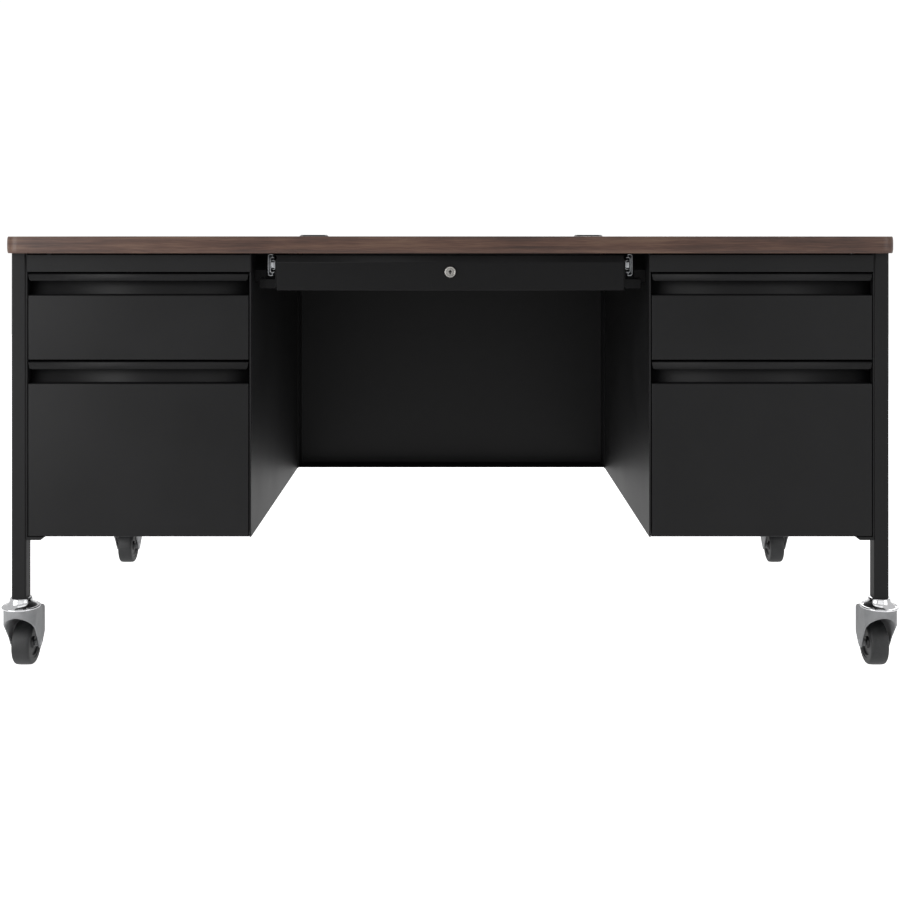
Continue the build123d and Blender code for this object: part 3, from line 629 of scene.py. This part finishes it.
def makeWheel(place, axle):
    tyreLow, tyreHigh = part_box(f"caster_tyre_{place}")
    half = (tyreHigh[0] - tyreLow[0]) / 2
    outer = (tyreHigh[2] - tyreLow[2]) / 2
    hubLow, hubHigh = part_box(f"caster_hub_{place}")
    hubHalf = (hubHigh[0] - hubLow[0]) / 2
    hubRadius = (hubHigh[2] - hubLow[2]) / 2
    across = lambda x, r: axle + Vector((x, 0, r))
    crown = casterLook["crown"]
    bm = bmesh.new()
    flat = half * casterLook["tyreFlat"]
    spinProfile(bm, [across(-half, hubRadius), across(-half, outer - crown), across(-flat, outer),
                     across(flat, outer), across(half, outer - crown), across(half, hubRadius)],
                (1, 0, 0), axle, 72)
    shoulders = [e for s in (-1, 1) for e in ringEdges(bm, (1, 0, 0), axle, outer - crown, s * half)]
    bmesh.ops.bevel(bm, geom=shoulders, offset=casterLook["tyreRound"], segments=6, profile=0.5,
                    affect="EDGES", material=-1)
    placePiece(bm, f"casterTyre_{place}", f"caster_tyre_{place}", smoothAngle=50)
    bm = bmesh.new()
    dish = hubHalf - casterLook["hubDish"]
    rimInside, boss, bore = casterLook["rimInside"], casterLook["boss"], casterLook["bore"]
    side = [(hubHalf, hubRadius), (hubHalf, rimInside), (dish, casterLook["dishOutside"]),
            (dish, casterLook["dishInside"]), (hubHalf, boss), (hubHalf, bore)]
    points = [across(-x, r) for x, r in side] + [across(x, r) for x, r in reversed(side)]
    spinProfile(bm, points, (1, 0, 0), axle, 64)
    rims = [e for s in (-1, 1) for r in (hubRadius, rimInside, boss)
            for e in ringEdges(bm, (1, 0, 0), axle, r, s * hubHalf)]
    bmesh.ops.bevel(bm, geom=rims, offset=casterLook["hubRound"], segments=3, profile=0.5,
                    affect="EDGES", material=-1)
    placePiece(bm, f"casterHub_{place}", f"caster_hub_{place}", smoothAngle=35)


def makeAxle(place, axle):
    # riveted axle pin, domed at both ends
    bm = bmesh.new()
    points = [axle + Vector((x * mm, 0, r * mm)) for x, r in axleLook["profile"]]
    spinProfile(bm, points, (1, 0, 0), axle, 32)
    placePiece(bm, f"casterAxle_{place}", None, "zinc_steel", 50, f"caster_{place}")


def makeRings():
    # pressed chrome raceway caps: a rolled rim, a groove and a skirt that flares up to the leg
    low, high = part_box("caster_rings")
    bm = bmesh.new()
    for place in ("front_left", "front_right", "rear_left", "rear_right"):
        joint = next(j for j in frame["record"]["behaviour"]["joints"] if j["name"] == "swivel_" + place)
        middle = Vector((joint["pos_m"][0], joint["pos_m"][1], low[2]))
        points = [middle + Vector((r * mm, 0, z * mm)) for r, z in capLook["profile"]]
        spinProfile(bm, points, (0, 0, 1), middle, 72)
    placePiece(bm, "casterRings", "caster_rings", smoothAngle=70)


for place in ("front_left", "front_right", "rear_left", "rear_right"):
    axlePoint = makeHood(place)
    makeWheel(place, axlePoint)
    makeAxle(place, axlePoint)
makeRings()
print("casters made")

# stage and light
stageLook = {"size": 14, "floor": "#ffffff", "glow": 0.2, "shine": 0.62, "seen": 1.05, "around": 0.15}


def studioStrength(tree, soft):
    # full white where the camera looks, bright in mirrors, soft where it lights the desk
    ray = addNode(tree, "LightPath")
    mirrored = addNode(tree, "MapRange", {"Value": ray.outputs["Is Glossy Ray"], "To Min": soft,
                                          "To Max": stageLook["shine"]})
    seen = addNode(tree, "MapRange", {"Value": ray.outputs["Is Camera Ray"], "To Min": mirrored.outputs["Result"],
                                      "To Max": stageLook["seen"]})
    return seen.outputs["Result"]


bm = bmesh.new()
bmesh.ops.create_grid(bm, x_segments=1, y_segments=1, size=stageLook["size"] / 2)
floorMesh = bpy.data.meshes.new("floor")
bm.to_mesh(floorMesh)
bm.free()
floor = bpy.data.objects.new("floor", floorMesh)
bpy.context.scene.collection.objects.link(floor)
floorMaterial, floorTree, floorShader, _ = startMaterial("studioFloor")
floorShader.inputs["Base Color"].default_value = toLinear(stageLook["floor"])
floorShader.inputs["Roughness"].default_value = 0.9
floorShader.inputs["Emission Color"].default_value = (1, 1, 1, 1)
floorTree.links.new(studioStrength(floorTree, stageLook["glow"]), floorShader.inputs["Emission Strength"])
floorMesh.materials.append(floorMaterial)

world = bpy.data.worlds.new("studio")
world.use_nodes = True
background = world.node_tree.nodes["Background"]
background.inputs["Color"].default_value = (1, 1, 1, 1)
world.node_tree.links.new(studioStrength(world.node_tree, stageLook["around"]), background.inputs["Strength"])
bpy.context.scene.world = world
bpy.context.scene.view_settings.view_transform = "Standard"

lights = {
    "left": {"at": (-2.25, -2.05, 1.0), "size": (1.7, 1.8), "watts": 30, "aim": (-0.6, -0.4, 0.6)},
    "right": {"at": (3.2, -2.7, 1.4), "size": (2.2, 2.0), "watts": 22, "aim": (0.3, -0.4, 0.5)},
    "front": {"at": (0.2, -4.6, 2.4), "size": (4.4, 2.0), "watts": 14, "aim": (0, 0, 0.5)},
    "top": {"at": (0.0, -0.4, 3.2), "size": (3.0, 3.0), "watts": 16, "aim": (0, 0, 0.7)},
    "back": {"at": (1.6, 3.2, 2.0), "size": (2.6, 2.2), "watts": 30, "aim": (0, 0, 0.4)},
}
for name, light in lights.items():
    data = bpy.data.lights.new(name, "AREA")
    data.shape = "RECTANGLE"
    data.energy = light["watts"]
    data.size, data.size_y = light["size"]
    lamp = bpy.data.objects.new(name, data)
    lamp.location = light["at"]
    lamp.rotation_euler = (Vector(light["aim"]) - Vector(light["at"])).to_track_quat("-Z", "Y").to_euler()
    bpy.context.scene.collection.objects.link(lamp)
print("stage and light set")
